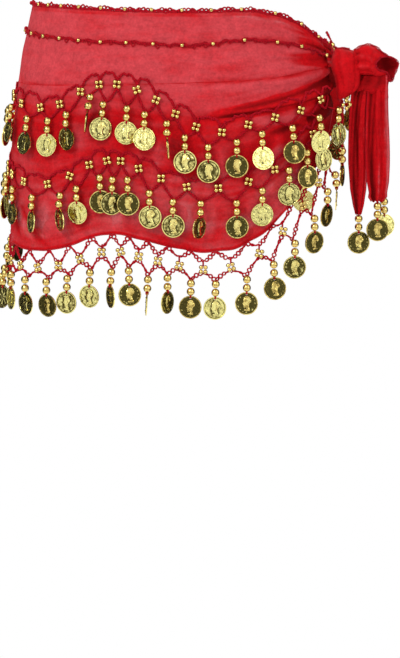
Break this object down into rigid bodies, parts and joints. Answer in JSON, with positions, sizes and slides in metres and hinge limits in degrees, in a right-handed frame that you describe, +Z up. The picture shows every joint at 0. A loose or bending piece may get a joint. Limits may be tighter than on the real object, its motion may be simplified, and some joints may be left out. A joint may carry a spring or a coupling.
{
  "type": "belly dance hip scarf",
  "caption": "Hip scarf of thin cloth wound round the hips and tied at one side, with crochet braids, rows of beads and coins, and a beaded coin net below the hem.",
  "frame": {"origin": "centre of the wearer's hips at the height of the knot", "axes": "+Z up to the waist, -Y the front, +X the side that the knot is on"},
  "size_m": [0.3831, 0.261, 0.2926],
  "materials": {
    "chiffon": "thin crimson chiffon, slightly see-through, soft sheen",
    "crochet_thread": "dark crimson crochet thread",
    "gold_trim": "stamped coins and round beads, polished gold colour, on crimson thread"
  },
  "bodies": {
    "root": {"wrap_front": "chiffon", "wrap_back": "chiffon", "knot_band": "chiffon", "knot_loop": "chiffon", "knot_gather": "chiffon", "tail_inner": "chiffon", "tail_outer": "chiffon", "top_braid": "crochet_thread", "second_braid": "crochet_thread", "upper_coin_row": "gold_trim", "middle_coin_row": "gold_trim", "hem_coin_fringe": "gold_trim", "knot_drop": "gold_trim", "tail_inner_drop": "gold_trim", "tail_outer_drop_front": "gold_trim", "tail_outer_drop_back": "gold_trim"}
  },
  "joints": []
}
